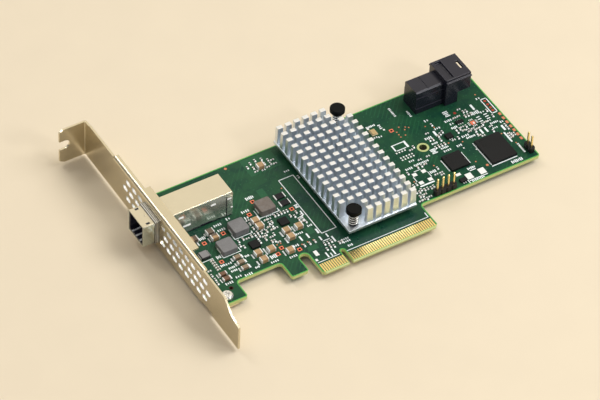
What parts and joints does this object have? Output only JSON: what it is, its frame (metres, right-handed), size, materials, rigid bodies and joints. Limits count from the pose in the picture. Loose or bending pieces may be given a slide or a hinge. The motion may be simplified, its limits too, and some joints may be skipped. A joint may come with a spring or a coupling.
{
  "type": "host bus adapter",
  "caption": "Low-profile expansion card with a full-height bracket, a caged external port, a shrouded internal port and a pin-fin heatsink, for linking storage to a computer.",
  "frame": {"origin": "centre of the key notch in the card edge, at the tip of the edge, on the component face", "axes": "+X along the card away from the bracket, +Y out of the socket towards the bracket's tab, +Z out of the component face, which lies upwards"},
  "size_m": [0.1671, 0.12, 0.0197],
  "materials": {
    "laminate": "satin solder mask",
    "gold": "plated",
    "bracket_steel": "nickel-plated sheet",
    "screw_steel": "zinc-plated",
    "cage_steel": "nickel-plated sheet",
    "spring_steel": "bright",
    "connector_plastic": "moulded",
    "heatsink_aluminium": "plain extruded",
    "pin_plastic": "moulded",
    "package_laminate": "plain",
    "lid_metal": "plated",
    "thermal_pad": "matt",
    "chip_mould": "moulded",
    "inductor_powder": "pressed powder",
    "tin": "tinned",
    "resistor_coat": "glazed",
    "pale_ceramic": "fired",
    "dark_ceramic": "fired",
    "header_plastic": "moulded"
  },
  "bodies": {
    "root": {"circuit_board": "laminate", "edge_contacts_component": "gold", "edge_contacts_solder": "gold", "external_contacts": "gold", "internal_contacts": "gold", "long_header_posts": "gold", "short_header_posts": "gold", "bracket": "bracket_steel", "bracket_screws": "screw_steel", "external_cage": "cage_steel", "external_gasket": "spring_steel", "push_pin_springs": "spring_steel", "external_receptacle": "connector_plastic", "internal_housing": "connector_plastic", "internal_rear_cover": "connector_plastic", "heatsink": "heatsink_aluminium", "push_pins": "pin_plastic", "controller_package": "package_laminate", "controller_lid": "lid_metal", "crystal_lid": "lid_metal", "thermal_pad": "thermal_pad", "small_memory_chip": "chip_mould", "large_memory_chip": "chip_mould", "regulator_chips": "chip_mould", "transistor_packages": "chip_mould", "power_inductors": "inductor_powder", "inductor_terminals": "tin", "sense_resistor_ends": "tin", "pale_capacitor_ends": "tin", "dark_capacitor_ends": "tin", "solder_side_terminals": "tin", "transistor_leads": "tin", "sense_resistors": "resistor_coat", "pale_capacitors": "pale_ceramic", "crystal_base": "pale_ceramic", "dark_capacitors": "dark_ceramic", "solder_side_capacitors": "dark_ceramic", "long_header_strip": "header_plastic", "short_header_strip": "header_plastic"}
  },
  "joints": []
}
